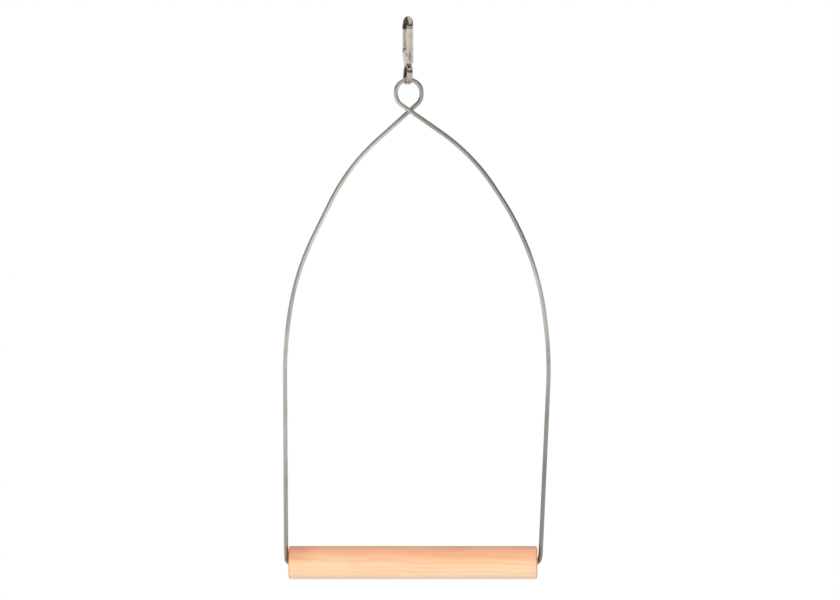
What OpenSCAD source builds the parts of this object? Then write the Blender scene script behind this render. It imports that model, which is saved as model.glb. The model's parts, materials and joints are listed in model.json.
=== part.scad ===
// Cage-bird arch swing: a bent wire bow and a wooden perch, hung from a small snap hook.
// Millimetres, +Z up, X along the perch. The bow hangs in the XZ plane.
// The origin is the centre of the half-round seat that the hook hangs from.

/* [View] */
// sub-part to draw

/* [Perch] */
// dowel diameter
perch_d = 12; // [10:0.5:16]
// dowel length
perch_len = 90; // [80:1:100]
// chamfer round each end of the dowel
perch_chamfer = 0.5; // [0.2:0.1:1]
// perch centre, sideways from the ring
perch_shift = 1.55; // [0:0.05:3]
// depth of the bore in each end
pin_bore_depth = 11; // [8:1:20]
// depth of the countersink that clears the wire's bend
pin_mouth = 0.65; // [0.6:0.05:1]

/* [Bow wire] */
// wire diameter
wire_d = 1.6; // [1.4:0.1:1.8]
// top of the ring's centreline down to the perch axis
bow_drop = 175.2; // [165:0.2:185]
// radius of the ring's centreline
ring_r = 4.65; // [4.5:0.05:5]
// straight flank that makes the ring taller than it is wide
ring_flank = 0.7; // [0.5:0.1:1.5]
// gap between the two strands where they cross
cross_gap = 0.1; // [0.05:0.05:0.5]
// how far each foot pin reaches into its bore
pin_len = 8; // [5:0.5:8]
// how far inside the end face each foot bend finishes
foot_inset = 0.6; // [0.5:0.05:0.6]

/* [Right arm] */
// slope from vertical where the arm leaves the crossing
right_lean = 55.3; // [53:0.1:57]
// straight from the crossing to the shoulder
right_neck = 13.4; // [12:0.2:15]
// shoulder bend angle
right_bend_1 = 22.1; // [21:0.1:23]
// shoulder bend radius
right_radius_1 = 73; // [65:1:80]
// middle bend angle
right_bend_2 = 26.4; // [25:0.1:27]
// middle bend radius
right_radius_2 = 102; // [95:1:105]
// straight between the middle bend and the waist
right_waist = 2.5; // [1:0.5:4]
// waist bend angle
right_bend_3 = 9.4; // [9:0.1:10]
// waist bend radius
right_radius_3 = 140; // [130:1:150]
// inward kink above the foot
right_kink = 10; // [6:1:14]
// straight between the kink and the foot bend
right_toe = 1; // [0.5:0.1:2]
// foot bend radius
right_foot_r = 1.6; // [1.5:0.05:1.7]

/* [Left arm] */
// slope from vertical where the arm leaves the crossing
left_lean = 48; // [46:0.1:50]
// straight from the crossing to the shoulder
left_neck = 15.4; // [14:0.2:17]
// shoulder bend angle
left_bend_1 = 21.8; // [21:0.1:23]
// shoulder bend radius
left_radius_1 = 76; // [70:1:85]
// middle bend angle
left_bend_2 = 17.1; // [16:0.1:18]
// middle bend radius
left_radius_2 = 94; // [88:1:98]
// straight between the middle bend and the waist
left_waist = 0.5; // [0.5:0.5:3]
// waist bend angle
left_bend_3 = 9.5; // [9:0.1:10]
// waist bend radius
left_radius_3 = 145; // [130:1:160]
// inward kink above the foot
left_kink = 2; // [1:0.5:4]
// straight between the kink and the foot bend
left_toe = 4; // [2:0.5:6]
// foot bend radius
left_foot_r = 1.45; // [1.45:0.05:1.55]

/* [Hook] */
// hook thickness
hook_w = 2.4; // [2.2:0.1:2.8]
// radius of the seat inside the bight
seat_r = 2.9; // [2.7:0.1:3]
// bight and spine, inside face to outside face
hook_t = 1.5; // [1.3:0.1:1.7]
// chamfer along the inner edges, and along the eye
inner_cut = 0.3; // [0.2:0.05:0.35]
// chamfer along the outer edges
outer_cut = 0.6; // [0.4:0.05:0.7]
// turn of the hook about its own height
hook_yaw = 13; // [0:1:20]
// ring centre, sideways from the seat
ring_shift = 0.3; // [0:0.1:0.5]
// radius of the eye's bore
eye_r = 2.9; // [2.8:0.05:3]
// rim of the eye, bore to outside
eye_rim = 0.85; // [0.8:0.05:0.9]
// thickness of the eye
eye_w = 2.2; // [1.8:0.1:2.2]
// height of the ring's centreline under the seat's centre
eye_drop = 18.55; // [18.4:0.05:18.8]
// gap under the ring's wire in the eye
eye_gap = 0.12; // [0.1:0.01:0.15]

/* [Gate] */
// pivot height under the seat's centre
pivot_drop = 9.8; // [9.6:0.1:10]
// pivot distance in front of the hook's centre
pivot_front = 1.9; // [1.85:0.05:1.95]
// blade thickness
gate_t = 1.6; // [1.4:0.05:1.7]
// rivet diameter
rivet_d = 0.9; // [0.8:0.05:1]
// rivet head diameter
rivet_head_d = 1.5; // [1.3:0.1:1.7]
// rivet head thickness
rivet_head_t = 0.25; // [0.2:0.05:0.3]
// slot in the hook's fork
slot_w = 1.4; // [1.3:0.05:1.45]
// spring wire diameter
spring_wire_d = 0.25; // [0.2:0.01:0.25]

/* [Hidden] */
$fn = 96;
// shared length that lets a cut pass clear of a face
over = 1;

// how far a joint ball stands proud of the wire
ball_swell = 0.01;
// radial running clearance of the pins and the rivet
run_fit = 0.05;

// metal runs on a little past the step where two pieces of a node meet
weld = 0.4;
// cone at the tip of each foot pin
pin_tip = 0.3;

wire_r = wire_d / 2;
strand_y = wire_r + cross_gap / 2;
// depth of the crossing under the centre of the ring's lower arcs
cross_depth = ring_r * (1 / cos(right_lean) + 1 / cos(left_lean)) / (tan(right_lean) + tan(left_lean));
ring_plane_drop = ring_r + ring_flank + cross_depth;
ring_tilt = asin(strand_y / ring_plane_drop);
ring_drop = ring_plane_drop * cos(ring_tilt);
arm_drop = bow_drop - ring_drop;
arm_tilt = atan(strand_y / arm_drop);
arm_plane_drop = arm_drop / cos(arm_tilt);
right_cross_x = cross_depth * tan(right_lean) - ring_r / cos(right_lean);
right_reach = perch_len / 2 + perch_shift - foot_inset;
left_reach = perch_len / 2 - perch_shift - foot_inset;
foot_heading = -90;

right_arm = [
    [right_lean, right_bend_1, right_bend_2, right_bend_3, right_kink],
    [right_radius_1, right_radius_2, right_radius_3],
    [right_neck, right_waist, right_toe],
    right_foot_r
];
left_arm = [
    [left_lean, left_bend_1, left_bend_2, left_bend_3, left_kink],
    [left_radius_1, left_radius_2, left_radius_3],
    [left_neck, left_waist, left_toe],
    left_foot_r
];
// bend radius of the small inward kink
kink_r = 6;

pin_bore_r = wire_r + run_fit;
perch_z = -eye_drop - bow_drop;
perch_x = ring_shift + perch_shift;

eye_z = -eye_drop - wire_r - eye_gap + eye_r;
bight_outer_r = seat_r + hook_t;
pivot_z = -pivot_drop;
pivot_y = -pivot_front;
cheek_r = 1.75;
blade_clear_r = 1.9;
slot_r = 1.95;
lug_r = 1.6;
throat_floor = pivot_z + 1.4;
throat_fillet = 1.6;
// big arc that carries the spine's back round into the neck
shoulder_r = 8;
shoulder_z = pivot_z + 2.6;
fork_taper = pivot_z - 1.5;
fork_bottom = pivot_z - 2.5;
fork_foot = 2.6;
neck_top = fork_bottom + weld;
neck_bottom = eye_z + eye_r + eye_rim / 6;
neck_half = 2.4;
neck_scoop_r = 1.2;
neck_scoop_y = neck_half + 0.5;
neck_scoop_z = (fork_bottom + neck_bottom) / 2;
beak_notch_h = 1;
beak_skin = 1.1;
// gap between the beak and the top of the shut gate
beak_gap = 0.15;
blade_gap = 0.05;
// how far the blade's face sits behind the bight's
blade_set = 0.1;
blade_front = -bight_outer_r + blade_set;
blade_back = blade_front + gate_t;
blade_top = -beak_gap;
tongue_front = -bight_outer_r + beak_skin + blade_gap;
tongue_h = beak_notch_h - beak_gap;
lugs_w = slot_w - 2 * blade_gap;
lug_gap = 2 * spring_wire_d + 2 * blade_gap;
web_top = pivot_z + 2.5;
// thumb tail under the pivot: its drop and the thickness of its tip
tail_drop = 3;
tail_tip = 0.6;
tail_back = pivot_y - lug_r + 0.3;
coil_r = rivet_d / 2 + run_fit + spring_wire_d / 2 + blade_gap;
// turns nest slightly, so that they stay one piece
coil_pitch = 0.9 * spring_wire_d;
coil_room_r = coil_r + spring_wire_d / 2 + blade_gap;
spring_leg = 3.4;
spring_tail = 1.6;

wood_color = [0.93, 0.74, 0.56];
wire_color = [0.68, 0.66, 0.63];
hook_color = [0.78, 0.74, 0.68];
steel_color = [0.55, 0.55, 0.56];

// heading: the wire's slope from straight down, positive outwards
function headings(turns) =
    let (h1 = turns[0] - turns[1], h2 = h1 - turns[2], h3 = h2 - turns[3])
    [turns[0], h1, h2, h3, h3 - turns[4]];
function run_step(len, h) = len * [sin(h), cos(h)];
function bend_step(r, h0, h1) = r * [cos(h1) - cos(h0), sin(h0) - sin(h1)];

// outward and downward travel of every run and bend but the two runs that close the arm
function fixed_travel(arm, h) =
    run_step(arm[2][0], h[0]) + bend_step(arm[1][0], h[0], h[1]) + bend_step(arm[1][1], h[1], h[2])
    + run_step(arm[2][1], h[2]) + bend_step(arm[1][2], h[2], h[3]) + bend_step(kink_r, h[3], h[4])
    + run_step(arm[2][2], h[4]) + bend_step(arm[3], h[4], foot_heading);

// lengths of the flank and leg runs that land the foot bend on the perch axis
function closing_runs(h, gap) =
    [gap[0] * cos(h[3]) - gap[1] * sin(h[3]), gap[1] * sin(h[1]) - gap[0] * cos(h[1])] / sin(h[1] - h[3]);

// bar section as [depth, across] points: t from the inner face to the outer face, w across
function bar_section(t, w, outer) = [
    [0, inner_cut - w / 2], [inner_cut, -w / 2], [t - outer, -w / 2], [t, outer - w / 2],
    [t, w / 2 - outer], [t - outer, w / 2], [inner_cut, w / 2], [0, w / 2 - inner_cut]
];

module joint_ball() {
    sphere(r = wire_r + ball_swell);
}

// straight wire along +Z, with what follows at its end
module wire_run(len) {
    cylinder(h = len, r = wire_r);
    translate([0, 0, len]) {
        joint_ball();
        children();
    }
}

// wire arc that turns +Z towards -X, or towards +X for a negative angle
module wire_bend(r, angle) {
    side = angle < 0 ? 180 : 0;
    rotate([0, 0, side])
        translate([-r, 0, 0]) {
            rotate([90, 0, 0])
                rotate_extrude(angle = abs(angle))
                    translate([r, 0])
                        circle(r = wire_r);
            rotate([0, -abs(angle), 0])
                translate([r, 0, 0])
                    rotate([0, 0, side]) {
                        joint_ball();
                        children();
                    }
        }
}

module foot_pin() {
    cylinder(h = pin_len - pin_tip, r = wire_r);
    translate([0, 0, pin_len - pin_tip])
        cylinder(h = pin_tip, r1 = wire_r, r2 = wire_r - pin_tip);
}

// half of the ring, from its top down to the crossing
module ring_half(lean) {
    last_run = cross_depth / cos(lean) - ring_r * tan(lean);
    rotate([-ring_tilt, 0, 0])
        rotate([0, foot_heading, 0])
            wire_bend(ring_r, -foot_heading)
                wire_run(ring_flank)
                    wire_bend(ring_r, lean)
                        wire_run(last_run);
}

// one arm and leg, from the crossing to the tip of its foot pin
module arm(shape, reach) {
    h = headings(shape[0]);
    loose = closing_runs(h, [reach, arm_plane_drop] - fixed_travel(shape, h));
    rotate([arm_tilt, 0, 0])
        rotate([0, 180 - h[0], 0])
            wire_run(shape[2][0])
                wire_bend(shape[1][0], h[1] - h[0])
                    wire_run(loose[0])
                        wire_bend(shape[1][1], h[2] - h[1])
                            wire_run(shape[2][1])
                                wire_bend(shape[1][2], h[3] - h[2])
                                    wire_run(loose[1])
                                        wire_bend(kink_r, h[4] - h[3])
                                            wire_run(shape[2][2])
                                                wire_bend(shape[3], foot_heading - h[4])
                                                    foot_pin();
}

module half_bow(shape, reach, cross_x) {
    ring_half(shape[0][0]);
    translate([cross_x, -strand_y, -ring_drop])
        arm(shape, reach - cross_x);
}

module wire_bow() {
    color(wire_color)
        translate([ring_shift, 0, -eye_drop]) {
            half_bow(right_arm, right_reach, right_cross_x);
            rotate([0, 0, 180])
                half_bow(left_arm, left_reach, -right_cross_x);
        }
}

// blind bore along -Z from the origin, with a countersunk mouth
module pin_bore() {
    translate([0, 0, -pin_bore_depth])
        cylinder(h = pin_bore_depth + over, r = pin_bore_r);
    translate([0, 0, -pin_mouth])
        cylinder(h = pin_mouth + over, r1 = pin_bore_r, r2 = pin_bore_r + pin_mouth + over);
}

module perch() {
    color(wood_color)
        translate([perch_x, 0, perch_z])
            rotate([0, 90, 0])
                difference() {
                    rotate_extrude()
                        polygon([
                            [0, -perch_len / 2], [perch_d / 2 - perch_chamfer, -perch_len / 2],
                            [perch_d / 2, perch_chamfer - perch_len / 2],
                            [perch_d / 2, perch_len / 2 - perch_chamfer],
                            [perch_d / 2 - perch_chamfer, perch_len / 2], [0, perch_len / 2]
                        ]);
                    translate([0, 0, perch_len / 2])
                        pin_bore();
                    rotate([180, 0, 0])
                        translate([0, 0, perch_len / 2])
                            pin_bore();
                }
}

// the hook's own frame: thickness along X, gate side towards -Y
module in_hook_frame() {
    rotate([0, 0, hook_yaw])
        children();
}

// disc round [y, z] whose radius r grows by flare at each of the hook's faces, or shrinks if it is negative
module rim_disc(y, z, r, flare) {
    half_w = (hook_w + over) / 2;
    slope = abs(flare) + over / 2;
    rim_r = r + sign(flare) * slope;
    translate([0, y, z])
        rotate([0, 90, 0])
            rotate_extrude()
                polygon([
                    [0, -half_w], [rim_r, -half_w], [r, slope - half_w],
                    [r, half_w - slope], [rim_r, half_w], [0, half_w]
                ]);
}

// points given as [y, z], made w thick about the hook's middle plane
module side_plate(points, w) {
    rotate([90, 0, 90])
        linear_extrude(height = w, center = true)
            polygon(points);
}

// cylinder of radius r and width w across the hook, at [y, z]
module cross_disc(y, z, r, w) {
    translate([0, y, z])
        rotate([0, 90, 0])
            cylinder(h = w, r = r, center = true);
}

// cylinder of width w and radius r round the gate's pivot
module pivot_disc(r, w) {
    cross_disc(pivot_y, pivot_z, r, w);
}

module bight() {
    rotate([0, 90, 0])
        rotate([0, 0, 90])
            rotate_extrude(angle = 180)
                translate([seat_r, 0])
                    polygon(bar_section(hook_t, hook_w, outer_cut));
}

module spine() {
    translate([0, seat_r, shoulder_z])
        linear_extrude(height = -shoulder_z)
            rotate([0, 0, 90])
                polygon(bar_section(hook_t, hook_w, outer_cut));
}

// block that carries the gate, rounded at the back and thinner towards the neck
module fork_block() {
    top = shoulder_z + weld;
    fillet_y = seat_r - throat_fillet;
    fillet_z = throat_floor + throat_fillet;
    intersection() {
        difference() {
            side_plate([
                [bight_outer_r, top], [bight_outer_r, fork_bottom], [-fork_foot, fork_bottom],
                [pivot_y - weld, pivot_z - weld], [pivot_y, throat_floor], [fillet_y, throat_floor],
                [fillet_y, fillet_z], [seat_r, fillet_z], [seat_r, top]
            ], hook_w);
            rim_disc(fillet_y, fillet_z, throat_fillet, inner_cut);
        }
        rim_disc(bight_outer_r - shoulder_r, shoulder_z, shoulder_r, -outer_cut);
        rotate([90, 0, 0])
            linear_extrude(height = 2 * bight_outer_r + over, center = true)
                polygon([
                    [-hook_w / 2, 0], [-hook_w / 2, fork_taper], [-eye_w / 2, fork_bottom],
                    [eye_w / 2, fork_bottom], [hook_w / 2, fork_taper], [hook_w / 2, 0]
                ]);
    }
}

module neck() {
    difference() {
        side_plate([
            [neck_half, neck_top], [neck_half, neck_bottom], [-neck_half, neck_bottom], [-neck_half, neck_top]
        ], eye_w);
        for (side = [-1, 1])
            cross_disc(side * neck_scoop_y, neck_scoop_z, neck_scoop_r, eye_w + over);
    }
}

module eye() {
    translate([0, 0, eye_z])
        rotate([0, 90, 0])
            rotate_extrude()
                translate([eye_r, 0])
                    polygon(bar_section(eye_rim, eye_w, inner_cut));
}

module hook_body() {
    color(hook_color)
        in_hook_frame()
            difference() {
                union() {
                    bight();
                    spine();
                    fork_block();
                    pivot_disc(cheek_r, hook_w);
                    neck();
                    eye();
                }
                // slot for the gate's lugs
                pivot_disc(slot_r, slot_w);
                pivot_disc(rivet_d / 2, hook_w + over);
                // notch behind the beak for the gate's tongue
                translate([-hook_w, beak_skin - bight_outer_r, -over])
                    cube([2 * hook_w, hook_t, beak_notch_h + over]);
            }
}

// blade and thumb tail outside the fork, with a tongue that shuts behind the beak
module gate_blade() {
    tail_z = pivot_z - tail_drop;
    intersection() {
        translate([0, blade_back, tail_z])
            linear_extrude(height = blade_top - tail_z)
                rotate([0, 0, -90])
                    polygon(bar_section(gate_t, hook_w, outer_cut));
        side_plate([
            [blade_front - over, 0], [blade_back + over, 0], [blade_back + over, pivot_z],
            [tail_back, pivot_z - lug_r], [blade_front + tail_tip, tail_z], [blade_front - over, tail_z]
        ], hook_w + over);
    }
    side_plate([
        [blade_back, blade_top - inner_cut], [blade_back, blade_top + tongue_h],
        [tongue_front, blade_top + tongue_h], [tongue_front, blade_top - inner_cut]
    ], hook_w - 2 * inner_cut);
}

// web that carries the lugs into the fork's slot
module gate_web() {
    front = blade_front + outer_cut / 2;
    side_plate([
        [front, web_top], [blade_back, web_top], [pivot_y, pivot_z],
        [pivot_y - lug_r / 2, pivot_z - lug_r / 2], [tail_back, pivot_z - lug_r], [front, pivot_z - lug_r]
    ], lugs_w);
}

module hook_gate() {
    color(hook_color)
        in_hook_frame()
            difference() {
                union() {
                    difference() {
                        gate_blade();
                        pivot_disc(blade_clear_r, hook_w + over);
                    }
                    gate_web();
                    pivot_disc(lug_r, lugs_w);
                }
                pivot_disc(coil_room_r, lug_gap);
                pivot_disc(rivet_d / 2 + run_fit, hook_w + over);
                // gap between the lugs, for the spring's legs
                translate([-lug_gap / 2, blade_back, pivot_z - slot_r])
                    cube([lug_gap, 2 * slot_r, 2 * slot_r + over]);
            }
}

module gate_rivet() {
    color(steel_color)
        in_hook_frame() {
            pivot_disc(rivet_d / 2, hook_w + rivet_head_t);
            for (side = [-1, 1])
                translate([side * (hook_w + rivet_head_t) / 2, 0, 0])
                    pivot_disc(rivet_head_d / 2, rivet_head_t);
        }
}

module gate_spring() {
    color(steel_color)
        in_hook_frame()
            translate([0, pivot_y, pivot_z]) {
                for (side = [-1, 1])
                    translate([side * coil_pitch / 2, 0, 0])
                        rotate([0, 90, 0])
                            rotate_extrude()
                                translate([coil_r, 0])
                                    circle(d = spring_wire_d);
                // leg that pushes the blade shut
                translate([coil_pitch / 2, -coil_r, 0])
                    cylinder(h = spring_leg, d = spring_wire_d);
                // leg held by the fork
                translate([-coil_pitch / 2, 0, -coil_r])
                    rotate([-90, 0, 0])
                        cylinder(h = spring_tail, d = spring_wire_d);
            }
}

perch();
wire_bow();
hook_body();
hook_gate();
gate_rivet();
gate_spring();
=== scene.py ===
import json
import math

import bpy
import numpy as np
from mathutils import Matrix, Vector


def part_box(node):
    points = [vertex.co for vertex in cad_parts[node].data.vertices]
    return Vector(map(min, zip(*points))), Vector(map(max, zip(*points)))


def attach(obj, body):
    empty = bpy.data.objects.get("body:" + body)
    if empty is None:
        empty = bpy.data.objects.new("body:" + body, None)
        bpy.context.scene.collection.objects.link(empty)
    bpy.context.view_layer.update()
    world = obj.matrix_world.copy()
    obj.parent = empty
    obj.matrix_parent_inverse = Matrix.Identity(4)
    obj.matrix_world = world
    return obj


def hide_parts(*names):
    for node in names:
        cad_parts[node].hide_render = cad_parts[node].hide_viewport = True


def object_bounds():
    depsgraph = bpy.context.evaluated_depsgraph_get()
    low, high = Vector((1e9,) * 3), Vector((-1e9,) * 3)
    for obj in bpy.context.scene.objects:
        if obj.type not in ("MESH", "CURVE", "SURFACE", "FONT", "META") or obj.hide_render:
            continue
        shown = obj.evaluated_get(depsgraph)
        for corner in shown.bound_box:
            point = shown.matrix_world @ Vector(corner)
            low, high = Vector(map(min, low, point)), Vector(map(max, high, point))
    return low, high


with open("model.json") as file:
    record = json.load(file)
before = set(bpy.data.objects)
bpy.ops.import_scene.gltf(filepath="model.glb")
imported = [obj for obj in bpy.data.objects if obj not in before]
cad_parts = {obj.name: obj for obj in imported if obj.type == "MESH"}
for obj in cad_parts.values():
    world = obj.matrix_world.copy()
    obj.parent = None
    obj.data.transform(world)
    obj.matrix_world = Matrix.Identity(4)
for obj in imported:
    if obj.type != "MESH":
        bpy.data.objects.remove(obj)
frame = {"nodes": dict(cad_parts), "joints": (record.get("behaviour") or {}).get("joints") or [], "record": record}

# Cage-bird arch swing: a bent wire bow with its perch, hung from a small snap hook.
# Blender's units are metres, +Z up, X along the perch. The object's sizes are named in millimetres.
MM = 0.001
CAD_LOW, CAD_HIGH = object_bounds()
JOINTS = {joint["name"]: joint for joint in frame["joints"]}
RING_TOP = Vector(JOINTS["bow_swing"]["pos_m"]) / MM
PERCH_MID = Vector(JOINTS["perch_spin"]["pos_m"]) / MM
SEAT_AXIS = Vector(frame["record"]["mounts"][0]["axis"])
HOOK_YAW = math.atan2(SEAT_AXIS.y, SEAT_AXIS.x)

# Bow wire
WIRE_R = 0.8
CROSS_GAP = 0.1
STRAND_Y = WIRE_R + CROSS_GAP / 2
RING_R = 4.65
RING_FLANK = 0.7
KINK_R = 6.0
PIN_LEN = 8.0
PIN_TIP = 0.3
FOOT_INSET = 0.6
SIDEWAYS = math.radians(90)
# turns: the slope at the crossing, then the shoulder, middle, hip and kink bends
# radii: the shoulder, middle and hip bends. runs: the neck, waist and toe straights
RIGHT_ARM = {
    "turns": (55.3, 22.1, 26.4, 9.4, 10.0),
    "radii": (73.0, 102.0, 140.0),
    "runs": (13.4, 2.5, 1.0),
    "foot_r": 1.6,
}
LEFT_ARM = {
    "turns": (48.0, 21.8, 17.1, 9.5, 2.0),
    "radii": (76.0, 94.0, 145.0),
    "runs": (15.4, 0.5, 4.0),
    "foot_r": 1.45,
}
WIRE_SIDES = 28
WIRE_STEP = 1.4
WIRE_TURN = math.radians(5)

# Perch
PERCH_LOW, PERCH_HIGH = (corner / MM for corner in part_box("perch"))
PERCH_HALF = (PERCH_HIGH.x - PERCH_LOW.x) / 2
PERCH_R = (PERCH_HIGH.z - PERCH_LOW.z) / 2
PERCH_CHAMFER = 0.5
PERCH_EASE = 0.22
BORE_R = 0.85
BORE_DEPTH = 11.0
BORE_MOUTH = 0.65
PERCH_SIDES = 144
PERCH_STEP = 1.5

# Hook
SEAT_R = 2.9
EYE_R = 2.9
EYE_GAP = 0.12
EYE_Z = RING_TOP.z - WIRE_R - EYE_GAP + EYE_R
CAST_VOXEL = 0.08
CAST_SOFTENING = 7
RIVET_R = 0.45
RIVET_HEAD_R = 0.75
RIVET_HEAD_T = 0.25
RIVET_SIDES = 40
DOME_STEPS = 6
SPRING_R = 0.125
COIL_R = 0.675
COIL_TURNS = 1.25
COIL_HALF_W = 0.16
COIL_STEPS = 60
SPRING_SIDES = 12
SPRING_LEG = 3.4
SPRING_TAIL = 1.6

# Stage, in metres and watts
FLOOR_R = 0.9
FLOOR_SIDES = 96
FLOOR_DROP = 0.12
FLOOR_FADE = (0.35, 0.88)
FLOOR_GLOW = 0.18
SENSOR_WIDTH_MM = 36.0
CAMERA_AWAY = 1.2
CAMERA_SIDE = 0.0012
CAMERA_LIFT = -0.0008
FRAME_WIDTH_IN_HEIGHTS = 1.493
# name, place, the point that it faces, its width and height, and its power
LAMPS = [
    ("key", (-0.55, -0.75, 0.10), (0, 0, -0.10), (0.5, 0.6), 5.5),
    ("back", (0.25, 0.90, 0.05), (0, 0, -0.10), (0.7, 0.7), 3.6),
    ("fill", (0.60, -0.70, -0.25), (0, 0, -0.12), (0.5, 0.5), 2.6),
]
# (height of a direction on the unit sphere, how bright the room is there)
ROOM_DOME = [(0.0, 1.0), (0.13, 1.0), (0.30, 0.12), (0.58, 0.12), (0.74, 0.9), (1.0, 0.9)]
# how bright the room is in front of the object and behind it, and the directions' Y where the
# front ends and the back begins
ROOM_FRONT, ROOM_BACK = 0.80, 0.90
ROOM_DEPTH = (-0.7, 0.5)


# ---------------------------------------------------------------- mesh tools

# a side divided by this is a little under its half
UNDER_HALF = 2.1


def mesh_piece(name, verts, faces, origin=Vector(), yaw=0.0, grain=None):
    """A smooth mesh object from millimetre points; its own origin and yaw give its place."""
    mesh = bpy.data.meshes.new(name)
    mesh.from_pydata([Vector(v) * MM for v in verts], [], faces)
    mesh.validate()
    mesh.shade_smooth()
    if grain is not None:
        attribute = mesh.attributes.new("grain", "FLOAT_VECTOR", "POINT")
        attribute.data.foreach_set("vector", np.asarray(grain, float).ravel())
    piece = bpy.data.objects.new(name, mesh)
    piece.location = origin * MM
    piece.rotation_euler.z = yaw
    bpy.context.scene.collection.objects.link(piece)
    return piece


def ring_faces(rings, sides):
    """Quads between successive rings of points, with a fan at each end to the last two points."""
    faces = []
    for ring in range(rings - 1):
        for side in range(sides):
            a = ring * sides + side
            b = ring * sides + (side + 1) % sides
            faces.append((a, b, b + sides, a + sides))
    first, last = rings * sides, rings * sides + 1
    top = (rings - 1) * sides
    for side in range(sides):
        following = (side + 1) % sides
        faces.append((first, following, side))
        faces.append((last, top + side, top + following))
    return faces


def eased(line, cut, pieces=4):
    """The line of 2D points with each corner rounded, starting cut millimetres from it, or a
    little under half way along a short side."""
    points = [Vector(p) for p in line]
    out = [points[0]]
    for before, corner, after in zip(points, points[1:], points[2:]):
        back, ahead = before - corner, after - corner
        start = corner + back.normalized() * min(cut, back.length / UNDER_HALF)
        end = corner + ahead.normalized() * min(cut, ahead.length / UNDER_HALF)
        for k in range(pieces + 1):
            t = k / pieces
            out.append(start * (1 - t) ** 2 + corner * 2 * t * (1 - t) + end * t ** 2)
    out.append(points[-1])
    return out


def lathe(name, profile, sides, **place):
    """A closed piece turned about X; profile is (along, radius) points, on the axis at both ends."""
    verts = []
    for along, radius in profile[1:-1]:
        for side in range(sides):
            angle = 2 * math.pi * side / sides
            verts.append((along, radius * math.cos(angle), radius * math.sin(angle)))
    verts += [(profile[0][0], 0, 0), (profile[-1][0], 0, 0)]
    return mesh_piece(name, verts, ring_faces(len(profile) - 2, sides), **place)


def sweep(name, path, radius, sides, tip, **place):
    """A round wire along path, its ends blunted by tip. Its grain is (across, across, along)."""
    path = [Vector(p) for p in path]
    start, end = path[0], path[-1]
    path.insert(1, start + (path[1] - start).normalized() * tip)
    path.insert(-1, end + (path[-2] - end).normalized() * tip)
    radii = [radius - tip] + [radius] * (len(path) - 2) + [radius - tip]
    runs = [(b - a).normalized() for a, b in zip(path, path[1:])]
    tangents = [runs[0]] + [(a + b).normalized() for a, b in zip(runs, runs[1:])] + [runs[-1]]
    across = tangents[0].orthogonal().normalized()
    verts, grain, along = [], [], 0.0
    for k, (spot, tangent) in enumerate(zip(path, tangents)):
        along += (spot - path[k - 1]).length if k else 0.0
        across = (across - tangent * across.dot(tangent)).normalized()
        other = tangent.cross(across)
        for side in range(sides):
            angle = 2 * math.pi * side / sides
            u, v = radii[k] * math.cos(angle), radii[k] * math.sin(angle)
            verts.append(spot + across * u + other * v)
            grain.append((u, v, along))
    verts += [start, end]
    grain += [(0, 0, 0), (0, 0, along)]
    return mesh_piece(name, verts, ring_faces(len(path), sides), grain=grain, **place), along


# ---------------------------------------------------------------- node tools

class Graph:
    """Adds nodes to a tree. Inputs are given by name or number, as values or as other outputs."""

    def __init__(self, tree):
        self.tree = tree

    def feed(self, socket, value):
        if isinstance(value, bpy.types.NodeSocket):
            self.tree.links.new(value, socket)
        else:
            socket.default_value = value

    def add(self, kind, inputs, output=0, **settings):
        node = self.tree.nodes.new("ShaderNode" + kind)
        for name, value in settings.items():
            setattr(node, name, value)
        for name, value in inputs.items():
            self.feed(node.inputs[name], value)
        return node.outputs[output]

    def calc(self, operation, a, b=0.0):
        return self.add("Math", {0: a, 1: b}, operation=operation)

    def stretch(self, vector, factors):
        return self.add("VectorMath", {0: vector, 1: factors}, operation="MULTIPLY")

    def part(self, vector, axis):
        """One of the vector's coordinates."""
        return self.add("SeparateXYZ", {0: vector}, axis)

    def less(self, vector, offset):
        return self.add("VectorMath", {0: vector, 1: offset}, operation="SUBTRACT")

    def off_x_axis(self, vector):
        """The vector's distance from the X axis."""
        return self.add("VectorMath", {0: self.stretch(vector, (0, 1, 1))}, "Value", operation="LENGTH")

    def noise(self, vector, scale=1.0, detail=2.0, roughness=0.5):
        inputs = {"Vector": vector, "Scale": scale, "Detail": detail, "Roughness": roughness}
        return self.add("TexNoise", inputs)

    def levels(self, value, low, high, to_low=0.0, to_high=1.0):
        """to_low up to low, to_high from high on, and a smooth step between them."""
        inputs = {"Value": value, "From Min": low, "From Max": high, "To Min": to_low, "To Max": to_high}
        return self.add("MapRange", inputs, interpolation_type="SMOOTHSTEP")

    def mix(self, amount, a, b, blend_type="MIX"):
        return self.add("Mix", {0: amount, 6: a, 7: b}, output=2, data_type="RGBA", blend_type=blend_type)

    def ramp(self, value, stops):
        output = self.add("ValToRGB", {0: value})
        elements = output.node.color_ramp.elements
        while len(elements) < len(stops):
            elements.new(0.5)
        for element, (position, level) in zip(elements, stops):
            element.position = position
            element.color = (level, level, level, 1)
        return output

    def bump(self, height, distance, strength=1.0, normal=None):
        inputs = {"Height": height, "Distance": distance * MM, "Strength": strength}
        if normal is not None:
            inputs["Normal"] = normal
        return self.add("Bump", inputs)


def new_material(name):
    """A new material, with its graph and its shader's inputs."""
    material = bpy.data.materials.new(name)
    material.use_nodes = True
    shader = material.node_tree.nodes["Principled BSDF"]
    return material, Graph(material.node_tree), shader.inputs


def rgb(red, green, blue):
    return (red, green, blue, 1.0)


def local_mm(graph):
    """The piece's own coordinates in millimetres."""
    return graph.stretch(graph.add("TexCoord", {}, "Object"), (1 / MM,) * 3)


# ---------------------------------------------------------------- materials

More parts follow.
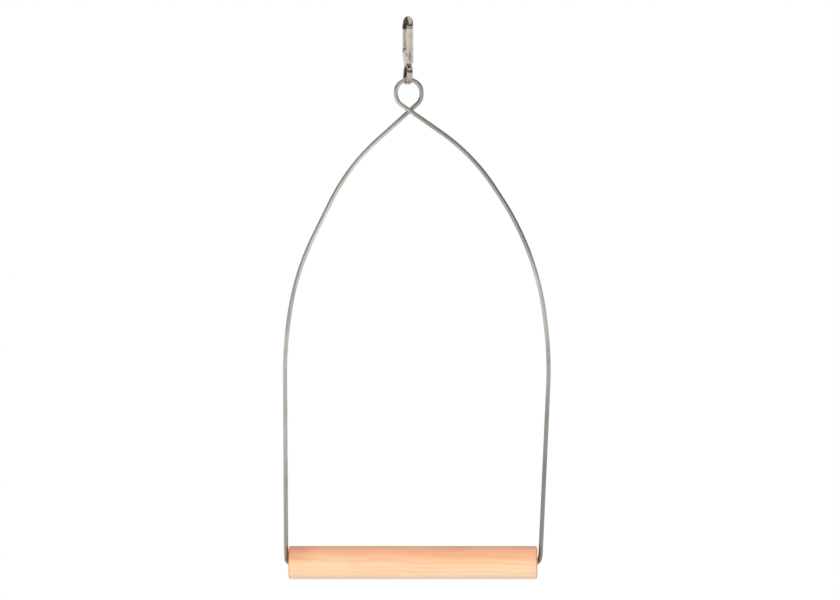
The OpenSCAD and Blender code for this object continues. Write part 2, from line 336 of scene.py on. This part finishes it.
PALE_WOOD = rgb(0.92, 0.60, 0.375)
WARM_TONE_AND_SHADE_WOOD = rgb(0.86, 0.455, 0.27)
LATE_WOOD = rgb(0.78, 0.60, 0.50)
UNDERSIDE_SHADE_WOOD = rgb(0.70, 0.565, 0.43)
LEFT_TOP_SHADE_WOOD = rgb(0.90, 0.82, 0.80)
END_WOOD = rgb(0.72, 0.56, 0.44)
BORE_SHADE_AND_STAIN_WOOD = rgb(0.30, 0.22, 0.17)
# places on the dowel where its tones and painted shade change, in millimetres up or along from its middle
TOP_SHADE_HEIGHTS = (-1.0, 4.5)
WARM_END = (-PERCH_HALF, -0.6 * PERCH_HALF)
UNDERSIDE_SHADE_HEIGHTS = (-5.8, -3.0)
LEFT_TOP_SHADE_END = (-PERCH_HALF + 3.0, -PERCH_HALF + 11.0)
LEFT_TOP_SHADE_HEIGHTS = (-0.5, 2.5)
# how far the darker end grain and the painted shade and wire stain of the bore reach
END_REACH = PERCH_CHAMFER + 0.25
BORE_REACH = BORE_R + BORE_MOUTH + 0.5
# the growth rings' centre, how far it leans in each millimetre along, and a year's growth
PITH = Vector((0.0, 11.0, -17.0))
PITH_LEAN = Vector((0.0, 0.030, 0.018))
RING_PITCH = 1.55
# (share of a year's ring, how much of it is dark late wood)
RING_SHADES = [(0.0, 0.0), (0.45, 0.08), (0.86, 1.0), (0.93, 0.9), (1.0, 0.0)]


def late_wood(g, place, along):
    """The dark bands of the growth rings. Their pith is outside the dowel, behind and below it."""
    pith = g.add("VectorMath", {0: PITH_LEAN, "Scale": along}, operation="SCALE")
    from_pith = g.less(g.less(place, pith), PITH)
    wander = g.levels(g.noise(g.stretch(place, (0.03, 0.16, 0.16))), 0, 1, -1.1, 1.1)
    age = g.calc("DIVIDE", g.calc("ADD", g.off_x_axis(from_pith), wander), RING_PITCH)
    band = g.ramp(g.calc("FRACT", age), RING_SHADES)
    year = g.add("TexWhiteNoise", {"W": g.calc("FLOOR", age)}, "Value", noise_dimensions="1D")
    return g.calc("MULTIPLY", band, g.levels(year, 0, 1, 0.35, 0.85))


def wood_tone_and_shade(g, place, along, height):
    """The dowel's colour before its grain: a wandering tone that is warmer towards its left end, with warm painted
    shade on top, darker pinker painted shade on the top of its left end and greyer painted shade below.
    """
    drift = g.noise(g.stretch(place, (0.022, 0.10, 0.10)), detail=1)
    # painted shade: the dowel's top is warmer and darker, mixed with a wandering tone and a warmer left end
    warm_tone_and_top_shade = g.calc("ADD", g.levels(height, *TOP_SHADE_HEIGHTS, 0.0, 0.90), g.levels(drift, 0.3, 0.7, -0.2, 0.30))
    warm_tone_and_top_shade = g.calc("ADD", warm_tone_and_top_shade, g.levels(along, *WARM_END, 0.30, 0.0))
    colour = g.mix(warm_tone_and_top_shade, PALE_WOOD, WARM_TONE_AND_SHADE_WOOD)
    # painted shade: the dowel's underside is greyer and darker
    colour = g.mix(g.levels(height, *UNDERSIDE_SHADE_HEIGHTS, 0.8, 0.0), colour, UNDERSIDE_SHADE_WOOD)
    # painted shade: the top of the dowel's left end is darker and pinker
    left_top_shade = g.levels(along, *LEFT_TOP_SHADE_END, 1.0, 0.0)
    left_top_shade = g.calc("MULTIPLY", left_top_shade, g.levels(height, *LEFT_TOP_SHADE_HEIGHTS))
    return g.mix(left_top_shade, colour, LEFT_TOP_SHADE_WOOD, "MULTIPLY")


def pine():
    """Straight-grained pine: growth rings, fibres, flecks and end grain, with painted shade on the dowel, and
    painted shade with a wire stain in and round its bores.
    """
    material, g, inputs = new_material("pine")
    place = local_mm(g)
    along = g.part(place, "X")
    late = late_wood(g, place, along)
    fibre = g.noise(g.stretch(place, (0.12, 5.0, 5.0)), detail=4, roughness=0.65)
    fleck = g.levels(g.noise(g.stretch(place, (0.35, 6.5, 6.5)), detail=1), 0.66, 0.76)
    from_end = g.calc("SUBTRACT", PERCH_HALF, g.calc("ABSOLUTE", along))
    end = g.levels(from_end, 0.06, END_REACH, 1.0, 0.0)
    # painted shade in the bores, with a stain from the wire round their mouths
    bore = g.levels(g.off_x_axis(place), BORE_R, BORE_REACH, 1.0, 0.0)
    colour = wood_tone_and_shade(g, place, along, g.part(place, "Z"))
    colour = g.mix(g.calc("MULTIPLY", late, 0.42), colour, LATE_WOOD, "MULTIPLY")
    colour = g.mix(g.levels(fibre, 0.35, 0.7, 0.0, 0.16), colour, LATE_WOOD, "MULTIPLY")
    colour = g.mix(g.calc("MULTIPLY", fleck, 0.35), colour, LATE_WOOD, "MULTIPLY")
    colour = g.mix(g.calc("MULTIPLY", end, 0.85), colour, END_WOOD, "MULTIPLY")
    g.feed(inputs["Base Color"], g.mix(g.calc("MULTIPLY", bore, 0.6), colour, BORE_SHADE_AND_STAIN_WOOD))
    worn = g.levels(fibre, 0.3, 0.75, 0.42, 0.58)
    g.feed(inputs["Roughness"], g.calc("ADD", worn, g.calc("MULTIPLY", end, 0.25)))
    g.feed(inputs["Specular IOR Level"], 0.35)
    pores = g.noise(g.stretch(place, (3.0, 7.0, 7.0)), detail=3, roughness=0.7)
    relief = g.bump(g.calc("ADD", fibre, g.calc("MULTIPLY", late, 0.5)), 0.035)
    g.feed(inputs["Normal"], g.bump(g.calc("MULTIPLY", pores, end), 0.10, normal=relief))
    return material


WIRE_BRIGHT = rgb(0.86, 0.805, 0.75)
WIRE_GREY = rgb(0.69, 0.64, 0.585)
WIRE_LINE = rgb(0.44, 0.40, 0.37)
WIRE_SPECK = rgb(0.22, 0.19, 0.16)
WIRE_SHADE = rgb(0.28, 0.25, 0.225)
WIRE_FOOT_SHADE = rgb(0.20, 0.115, 0.085)
FOOT_SHADE_LEN = 5.0
# (share of the wire's length, how much painted shade), from the left foot: painted shade on the feet, a lit
# stretch in each arm, and a ring with painted shade on its right and lit on its left
WIRE_SHADE_ALONG = [
    (0.0, 0.67), (0.04, 0.67), (0.13, 0.34), (0.22, 0.12), (0.25, 0.28), (0.29, 0.04), (0.385, 0.0),
    (0.43, 0.33), (0.465, 0.60), (0.49, 0.60), (0.51, 0.0), (0.518, 0.0), (0.545, 0.66), (0.69, 0.58),
    (0.725, 0.05), (0.80, 0.40), (0.86, 0.74), (1.0, 0.88),
]


def plated_wire(length):
    """Drawn steel wire under a satin nickel plate: fine lines along it, dull patches, painted shade and light
    along its length, and painted brown shade at its feet.
    """
    material, g, inputs = new_material("plated_wire")
    grain = g.add("Attribute", {}, "Vector", attribute_name="grain")
    along = g.part(grain, "Z")
    lines = g.noise(g.stretch(grain, (7.0, 7.0, 0.12)), detail=4, roughness=0.7)
    patches = g.noise(g.stretch(grain, (0.5, 0.5, 0.09)), detail=3, roughness=0.6)
    specks = g.levels(g.noise(g.stretch(grain, (3.0, 3.0, 1.6)), detail=1), 0.68, 0.76)
    colour = g.mix(g.levels(patches, 0.35, 0.7), WIRE_BRIGHT, WIRE_GREY)
    colour = g.mix(g.levels(lines, 0.4, 0.75, 0.0, 0.35), colour, WIRE_LINE)
    colour = g.mix(g.calc("MULTIPLY", specks, 0.5), colour, WIRE_SPECK)
    # painted shade along the wire, heavier on the right arm and at the feet, lighter in a stretch of each arm
    colour = g.mix(g.ramp(g.calc("DIVIDE", along, length), WIRE_SHADE_ALONG), colour, WIRE_SHADE)
    # painted brown shade on the wire just above each foot pin, where it meets the perch
    from_tip = g.calc("MINIMUM", along, g.calc("SUBTRACT", length, along))
    foot = g.levels(from_tip, PIN_LEN, PIN_LEN + FOOT_SHADE_LEN, 0.55, 0.0)
    foot = g.calc("MULTIPLY", foot, g.levels(patches, 0.3, 0.6, 0.6, 1.0))
    g.feed(inputs["Base Color"], g.mix(foot, colour, WIRE_FOOT_SHADE))
    g.feed(inputs["Metallic"], 1.0)
    rough = g.calc("ADD", g.levels(lines, 0.3, 0.8, 0.30, 0.44), g.levels(patches, 0.3, 0.7, 0.0, 0.10))
    g.feed(inputs["Roughness"], g.calc("ADD", rough, g.calc("MULTIPLY", foot, 0.25)))
    g.feed(inputs["Normal"], g.bump(lines, 0.010))
    return material


NICKEL_LIGHT = rgb(0.76, 0.70, 0.62)
NICKEL_SHADE = rgb(0.64, 0.575, 0.50)
NICKEL_EDGE = rgb(0.84, 0.80, 0.74)
NICKEL_PIT = rgb(0.20, 0.16, 0.12)
PINK_LOW_DOWN = rgb(0.59, 0.49, 0.45)
DUSKY_BELOW_EYE_MIDDLE = rgb(0.33, 0.25, 0.235)
GATE_SHADE_PATCH = rgb(0.20, 0.13, 0.115)
HEAD_SHADE = rgb(0.052, 0.042, 0.030)
EYE_SHADE = rgb(0.075, 0.032, 0.024)
# places on the hook where its tones and painted shade change, in millimetres up or across from the seat's middle
HEAD_BORDER = (-0.45, 0.45)
LEFT_HEAD_SHADE_SIDE = (-1.1, -0.15)
INSIDE_EDGE = (0.65, 0.95)
LOWER_HEIGHTS = (-11.5, -6.0)
EYE_SHADE_HEIGHTS = (EYE_Z - 0.9, EYE_Z - 0.2)
DUSK_HEIGHTS = (EYE_Z - 2.2, EYE_Z - 0.4)
SHADE_PATCH_FOOT = (-12.4, -11.2)
SHADE_PATCH_HEAD = (-9.3, -8.2)
SHADE_PATCH_SIDE = -0.35
# how far the head's border wanders, the painted shade patch's half width, how far the painted shade round
# the rims reaches, and how near the walls of a corner are
BORDER_WAVE = 0.8
SHADE_PATCH_HALF = (0.15, 0.75)
RIM_SHADE = (0.05, 0.30)
CORNER_SIZE = 1.0


def hook_painted_shade(g, place, side, height, clouds):
    """Painted shade in the corners, round the upper halves of seat and eye, and on the head's left."""
    # painted shade: darker where the surface is closed in, in corners and hollows
    open_air = g.add("AmbientOcclusion", {"Distance": CORNER_SIZE * MM}, "AO", samples=8)
    painted_shade = g.levels(open_air, 0.25, 0.85, 1.0, 0.0)
    border = g.calc("ADD", height, g.levels(clouds, 0.3, 0.7, -BORDER_WAVE, BORDER_WAVE))
    head = g.levels(border, *HEAD_BORDER)
    inside = g.levels(g.calc("ABSOLUTE", side), *INSIDE_EDGE, 1.0, 0.0)
    upper = g.calc("MULTIPLY", g.levels(height, *EYE_SHADE_HEIGHTS), inside)
    # painted shade round the upper halves of the seat and the eye
    for centre_z, radius, zone in ((0.0, SEAT_R, head), (EYE_Z, EYE_R, upper)):
        from_axis = g.off_x_axis(g.less(place, (0.0, 0.0, centre_z)))
        near, far = radius + RIM_SHADE[0], radius + RIM_SHADE[1]
        rim = g.calc("MULTIPLY", g.levels(from_axis, near, far, 1.0, 0.0), zone)
        rim = g.calc("MULTIPLY", rim, g.levels(clouds, 0.25, 0.5, 0.8, 1.0))
        painted_shade = g.calc("MAXIMUM", painted_shade, rim)
    # painted shade on the left of the head
    left_head_shade = g.calc("MULTIPLY", g.levels(side, *LEFT_HEAD_SHADE_SIDE, 1.0, 0.0), head)
    left_head_shade = g.calc("MULTIPLY", left_head_shade, g.levels(clouds, 0.2, 0.5, 0.8, 1.0))
    return g.calc("MAXIMUM", painted_shade, left_head_shade)


def nickel_tones_and_shade(g, side, height, clouds, lower):
    """The plate's colour before its painted shade in the hollows: darker and pinker low down, darker and pinker
    below the eye's middle, and a patch of painted shade low on the front.
    """
    colour = g.mix(g.levels(clouds, 0.3, 0.7), NICKEL_LIGHT, NICKEL_SHADE)
    # darker and pinker low down
    colour = g.mix(g.calc("MULTIPLY", lower, 0.65), colour, PINK_LOW_DOWN)
    # darker and pinker below the eye's middle
    dusk = g.levels(height, *DUSK_HEIGHTS, 0.55, 0.0)
    colour = g.mix(dusk, colour, DUSKY_BELOW_EYE_MIDDLE)
    # painted shade: a dark patch low on the front, under the thumb tab
    shade_patch = g.calc("MULTIPLY", g.levels(height, *SHADE_PATCH_HEAD, 1.0, 0.0), g.levels(height, *SHADE_PATCH_FOOT))
    off_centre = g.calc("ABSOLUTE", g.calc("SUBTRACT", side, SHADE_PATCH_SIDE))
    shade_patch = g.calc("MULTIPLY", shade_patch, g.levels(off_centre, *SHADE_PATCH_HALF, 0.6, 0.0))
    shade_patch = g.calc("MULTIPLY", shade_patch, g.levels(clouds, 0.3, 0.6, 0.7, 1.0))
    return g.mix(shade_patch, colour, GATE_SHADE_PATCH)


def nickel():
    """Cast zinc under bright nickel: painted shade in its recesses, bright on its worn edges, with pits."""
    material, g, inputs = new_material("nickel")
    place = local_mm(g)
    side, height = g.part(place, "X"), g.part(place, "Z")
    clouds = g.noise(place, scale=0.45, detail=3, roughness=0.6)
    orange_peel = g.noise(place, scale=2.2, detail=2)
    pits = g.levels(g.noise(place, scale=3.4, detail=1), 0.70, 0.78)
    scratches = g.noise(g.stretch(place, (1.5, 8.0, 1.2)), detail=3, roughness=0.7)
    edge = g.levels(g.add("NewGeometry", {}, "Pointiness"), 0.52, 0.60)
    painted_shade = hook_painted_shade(g, place, side, height, clouds)
    lower = g.levels(height, *LOWER_HEIGHTS, 1.0, 0.0)
    colour = nickel_tones_and_shade(g, side, height, clouds, lower)
    colour = g.mix(g.calc("MULTIPLY", edge, 0.6), colour, NICKEL_EDGE)
    colour = g.mix(g.calc("MULTIPLY", pits, 0.6), colour, NICKEL_PIT)
    # the painted shade's colour, redder low down
    shade_colour = g.mix(lower, HEAD_SHADE, EYE_SHADE)
    g.feed(inputs["Base Color"], g.mix(g.calc("MULTIPLY", painted_shade, 0.95), colour, shade_colour))
    g.feed(inputs["Metallic"], 1.0)
    rough = g.calc("ADD", g.levels(clouds, 0.3, 0.75, 0.13, 0.24), g.levels(scratches, 0.5, 0.8, 0.0, 0.10))
    g.feed(inputs["Roughness"], g.calc("ADD", rough, g.calc("MULTIPLY", painted_shade, 0.35)))
    relief = g.bump(g.calc("SUBTRACT", orange_peel, pits), 0.02)
    g.feed(inputs["Normal"], g.bump(scratches, 0.004, normal=relief))
    return material


STEEL_LIGHT = rgb(0.58, 0.57, 0.56)
STEEL_SHADE = rgb(0.36, 0.35, 0.34)
STEEL_MARK = rgb(0.25, 0.24, 0.23)


def bright_steel():
    """Bright spring steel with fine tool marks and cloudy patches."""
    material, g, inputs = new_material("bright_steel")
    place = local_mm(g)
    marks = g.noise(g.stretch(place, (2.0, 14.0, 14.0)), detail=3, roughness=0.7)
    blotches = g.noise(place, scale=1.8, detail=2)
    colour = g.mix(g.levels(blotches, 0.35, 0.7), STEEL_LIGHT, STEEL_SHADE)
    g.feed(inputs["Base Color"], g.mix(g.levels(marks, 0.5, 0.8, 0.0, 0.4), colour, STEEL_MARK))
    g.feed(inputs["Metallic"], 1.0)
    g.feed(inputs["Roughness"], g.levels(marks, 0.3, 0.8, 0.20, 0.42))
    g.feed(inputs["Normal"], g.bump(marks, 0.006))
    return material


# ---------------------------------------------------------------- pieces

def finish_piece(piece, body, node, material):
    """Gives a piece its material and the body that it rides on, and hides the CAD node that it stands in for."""
    piece.data.materials.clear()
    piece.data.materials.append(material)
    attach(piece, body)
    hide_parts(node)


def walk(heading, steps):
    """Points (across, drop) along (length, 0) runs and (turn, radius) bends, from the origin.
    A heading is measured from straight down, and grows towards +X."""
    spot = Vector((0.0, 0.0))
    points = [spot.copy()]
    for amount, radius in steps:
        if radius:
            pieces = math.ceil(abs(amount) / min(WIRE_TURN, WIRE_STEP / radius))
            turn = amount / pieces
            chord = 2 * radius * math.sin(abs(turn) / 2)
        else:
            pieces = math.ceil(amount / WIRE_STEP)
            turn = 0.0
            chord = amount / pieces if pieces else 0.0
        for _ in range(pieces):
            middle = heading + turn / 2
            spot += chord * Vector((math.sin(middle), math.cos(middle)))
            heading += turn
            points.append(spot.copy())
    return points


def arm_walk(arm, reach, drop):
    """One arm and leg from the crossing to the tip of its foot pin. Its flank and leg runs are
    solved so that the foot bend lands reach across and drop below the crossing."""
    lean, *bends, kink = [math.radians(turn) for turn in arm["turns"]]
    neck, waist, toe = arm["runs"]
    flank_heading = lean - bends[0]
    leg_heading = flank_heading - bends[1] - bends[2]

    def steps(flank, leg):
        shoulder, middle, hip = [(-bend, radius) for bend, radius in zip(bends, arm["radii"])]
        foot = (kink - leg_heading - SIDEWAYS, arm["foot_r"])
        return [
            (neck, 0), shoulder, (flank, 0), middle, (waist, 0), hip, (leg, 0),
            (-kink, KINK_R), (toe, 0), foot,
        ]

    short = Vector((reach, drop)) - walk(lean, steps(0, 0))[-1]
    spread = math.sin(flank_heading - leg_heading)
    flank = (short.x * math.cos(leg_heading) - short.y * math.sin(leg_heading)) / spread
    leg = (short.y * math.sin(flank_heading) - short.x * math.cos(flank_heading)) / spread
    return walk(lean, steps(flank, leg) + [(PIN_LEN, 0)])


def bow_path():
    """The wire's centreline, from the left foot pin over the ring to the right foot pin."""
    leans = [math.radians(arm["turns"][0]) for arm in (RIGHT_ARM, LEFT_ARM)]
    depth = RING_R * sum(1 / math.cos(lean) for lean in leans) / sum(math.tan(lean) for lean in leans)
    ring_plane_drop = RING_R + RING_FLANK + depth
    ring_tilt = math.asin(STRAND_Y / ring_plane_drop)
    ring_drop = ring_plane_drop * math.cos(ring_tilt)
    arm_drop = RING_TOP.z - PERCH_MID.z - ring_drop
    arm_tilt = math.atan(STRAND_Y / arm_drop)
    shift = PERCH_MID.x - RING_TOP.x
    halves = []
    for arm, lean, sign in zip((RIGHT_ARM, LEFT_ARM), leans, (1, -1)):
        last = depth / math.cos(lean) - RING_R * math.tan(lean)
        ring = walk(-SIDEWAYS, [(SIDEWAYS, RING_R), (RING_FLANK, 0), (lean, RING_R), (last, 0)])
        reach = PERCH_HALF + sign * shift - FOOT_INSET - ring[-1].x
        half = [Vector((x, -drop * math.sin(ring_tilt), -drop * math.cos(ring_tilt))) for x, drop in ring]
        crossing = half[-1]
        for x, drop in arm_walk(arm, reach, arm_drop / math.cos(arm_tilt))[1:]:
            half.append(crossing + Vector((x, drop * math.sin(arm_tilt), -drop * math.cos(arm_tilt))))
        halves.append([RING_TOP + Vector((sign * p.x, sign * p.y, p.z)) for p in half])
    right, left = halves
    return left[:0:-1] + right


def wire_bow():
    piece, length = sweep("bow_wire", bow_path(), WIRE_R, WIRE_SIDES, PIN_TIP)
    finish_piece(piece, "bow", "wire_bow", plated_wire(length))


def perch():
    """Turned dowel with eased arrises and a countersunk bore in each end."""
    end = [
        (PERCH_HALF - PERCH_CHAMFER - PERCH_STEP, PERCH_R), (PERCH_HALF - PERCH_CHAMFER, PERCH_R),
        (PERCH_HALF, PERCH_R - PERCH_CHAMFER), (PERCH_HALF, BORE_R + BORE_MOUTH),
        (PERCH_HALF - BORE_MOUTH, BORE_R), (PERCH_HALF - BORE_DEPTH, BORE_R),
    ]
    half = eased(end, PERCH_EASE) + [Vector((PERCH_HALF - BORE_DEPTH, 0.0))]
    barrel = np.arange(-half[0].x + PERCH_STEP, half[0].x - PERCH_STEP / 2, PERCH_STEP)
    profile = [(-x, r) for x, r in reversed(half)] + [(x, PERCH_R) for x in barrel]
    profile += [tuple(p) for p in half]
    piece = lathe("perch_dowel", profile, PERCH_SIDES, origin=PERCH_MID)
    finish_piece(piece, "perch", "perch", pine())


def cast_piece(name, node, body, material):
    """A copy of a CAD node with its edges softened as on a tumbled casting, in the hook's frame."""
    mesh = frame["nodes"][node].data.copy()
    mesh.transform(Matrix.Rotation(-HOOK_YAW, 4, "Z") @ Matrix.Scale(1 / MM, 4))
    piece = bpy.data.objects.new(name, mesh)
    bpy.context.scene.collection.objects.link(piece)
    skin = piece.modifiers.new("skin", "REMESH")
    skin.mode = "VOXEL"
    skin.voxel_size = CAST_VOXEL
    tumble = piece.modifiers.new("tumble", "SMOOTH")
    tumble.iterations = CAST_SOFTENING
    evaluated = piece.evaluated_get(bpy.context.evaluated_depsgraph_get())
    soft = bpy.data.meshes.new_from_object(evaluated)
    soft.transform(Matrix.Scale(MM, 4))
    soft.shade_smooth()
    piece.modifiers.clear()
    piece.data = soft
    piece.rotation_euler.z = HOOK_YAW
    finish_piece(piece, body, node, material)


def pivot_centre():
    """The rivet's middle, in millimetres."""
    low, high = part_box("gate_rivet")
    return (low + high) / 2 / MM


def gate_rivet(material):
    """Pin with a domed head at each end."""
    low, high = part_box("gate_rivet")
    span = (high - low).x / MM
    half = (span - 2 * RIVET_HEAD_R * abs(SEAT_AXIS.y)) / 2 / SEAT_AXIS.x
    inner = half - RIVET_HEAD_T
    head = [(inner, RIVET_R), (inner, RIVET_HEAD_R)]
    for k in range(1, DOME_STEPS + 1):
        angle = math.radians(90 * k / DOME_STEPS)
        head.append((inner + RIVET_HEAD_T * math.sin(angle), RIVET_HEAD_R * math.cos(angle)))
    profile = [(-x, r) for x, r in reversed(head)] + [(x, r) for x, r in head]
    profile[0] = (-half, 0.0)
    profile[-1] = (half, 0.0)
    piece = lathe("rivet_pin", profile, RIVET_SIDES, origin=pivot_centre(), yaw=HOOK_YAW)
    finish_piece(piece, "hook", "gate_rivet", material)


def gate_spring(material):
    """Torsion spring round the rivet: a leg up the blade, the coil, and a tail into the fork."""
    path = [(COIL_HALF_W, -COIL_R, SPRING_LEG), (COIL_HALF_W, -COIL_R, SPRING_LEG / 2)]
    for k in range(COIL_STEPS + 1):
        turned = k / COIL_STEPS
        angle = 2 * math.pi * COIL_TURNS * turned
        path.append((COIL_HALF_W * (1 - 2 * turned), -COIL_R * math.cos(angle), -COIL_R * math.sin(angle)))
    path.append((-COIL_HALF_W, SPRING_TAIL, -COIL_R))
    place = {"origin": pivot_centre(), "yaw": HOOK_YAW}
    piece, _ = sweep("spring_wire", path, SPRING_R, SPRING_SIDES, SPRING_R / 2, **place)
    finish_piece(piece, "gate", "gate_spring", material)


# ---------------------------------------------------------------- stage

def studio_world():
    """White to the camera. For light and reflections it is bright, with a dark band part way up."""
    world = bpy.data.worlds.new("studio")
    world.use_nodes = True
    bpy.context.scene.world = world
    g = Graph(world.node_tree)
    background = world.node_tree.nodes["Background"].inputs
    direction = g.add("TexCoord", {}, "Generated")
    dome = g.ramp(g.part(direction, "Z"), ROOM_DOME)
    room = g.levels(g.part(direction, "Y"), *ROOM_DEPTH, ROOM_FRONT, ROOM_BACK)
    light = g.calc("MULTIPLY", dome, room)
    seen = g.add("LightPath", {}, "Is Camera Ray")
    g.feed(background["Color"], rgb(1.0, 1.0, 1.0))
    g.feed(background["Strength"], g.levels(seen, 0, 1, light, 1.0))


def softbox(name, place, target, size, energy):
    """A soft lamp that reflections don't show."""
    data = bpy.data.lights.new(name, "AREA")
    data.shape = "RECTANGLE"
    data.size, data.size_y = size
    data.energy = energy
    lamp = bpy.data.objects.new(name, data)
    lamp.location = place
    lamp.rotation_euler = (Vector(target) - Vector(place)).to_track_quat("-Z", "Y").to_euler()
    lamp.visible_glossy = False
    bpy.context.scene.collection.objects.link(lamp)


def floor():
    """Pale round floor under the swing that fades out at its rim and isn't there from below."""
    angles = [2 * math.pi * k / FLOOR_SIDES for k in range(FLOOR_SIDES)]
    verts = [(FLOOR_R * math.cos(angle), FLOOR_R * math.sin(angle), 0) for angle in angles]
    mesh = bpy.data.meshes.new("floor")
    mesh.from_pydata(verts, [], [tuple(range(FLOOR_SIDES))])
    piece = bpy.data.objects.new("floor", mesh)
    piece.location = (PERCH_MID.x * MM, 0, CAD_LOW.z - FLOOR_DROP)
    bpy.context.scene.collection.objects.link(piece)
    material, g, inputs = new_material("floor")
    place = g.add("TexCoord", {}, "Object")
    out = g.add("VectorMath", {0: place}, "Value", operation="LENGTH")
    fade = g.levels(out, *FLOOR_FADE, 1.0, 0.0)
    front = g.calc("SUBTRACT", 1.0, g.add("NewGeometry", {}, "Backfacing"))
    g.feed(inputs["Alpha"], g.calc("MULTIPLY", fade, front))
    g.feed(inputs["Base Color"], rgb(0.92, 0.92, 0.92))
    g.feed(inputs["Roughness"], 0.9)
    g.feed(inputs["Emission Color"], rgb(1.0, 1.0, 1.0))
    g.feed(inputs["Emission Strength"], FLOOR_GLOW)
    mesh.materials.append(material)


def camera():
    """Straight on and far back, with the object nearly as tall as the frame."""
    size = CAD_HIGH - CAD_LOW
    middle = (CAD_LOW + CAD_HIGH) / 2
    data = bpy.data.cameras.new("camera")
    data.sensor_width = SENSOR_WIDTH_MM
    data.lens = SENSOR_WIDTH_MM * CAMERA_AWAY / (size.z * FRAME_WIDTH_IN_HEIGHTS)
    view = bpy.data.objects.new("camera", data)
    view.location = (middle.x + CAMERA_SIDE, -CAMERA_AWAY, middle.z + CAMERA_LIFT)
    view.rotation_euler = (math.radians(90), 0, 0)
    bpy.context.scene.collection.objects.link(view)
    bpy.context.scene.camera = view


camera()
studio_world()
floor()
for lamp in LAMPS:
    softbox(*lamp)
wire_bow()
perch()
nickel_plate = nickel()
steel = bright_steel()
cast_piece("hook_casting", "hook_body", "hook", nickel_plate)
cast_piece("gate_casting", "hook_gate", "gate", nickel_plate)
gate_rivet(steel)
gate_spring(steel)
bpy.context.scene.view_settings.view_transform = "Standard"
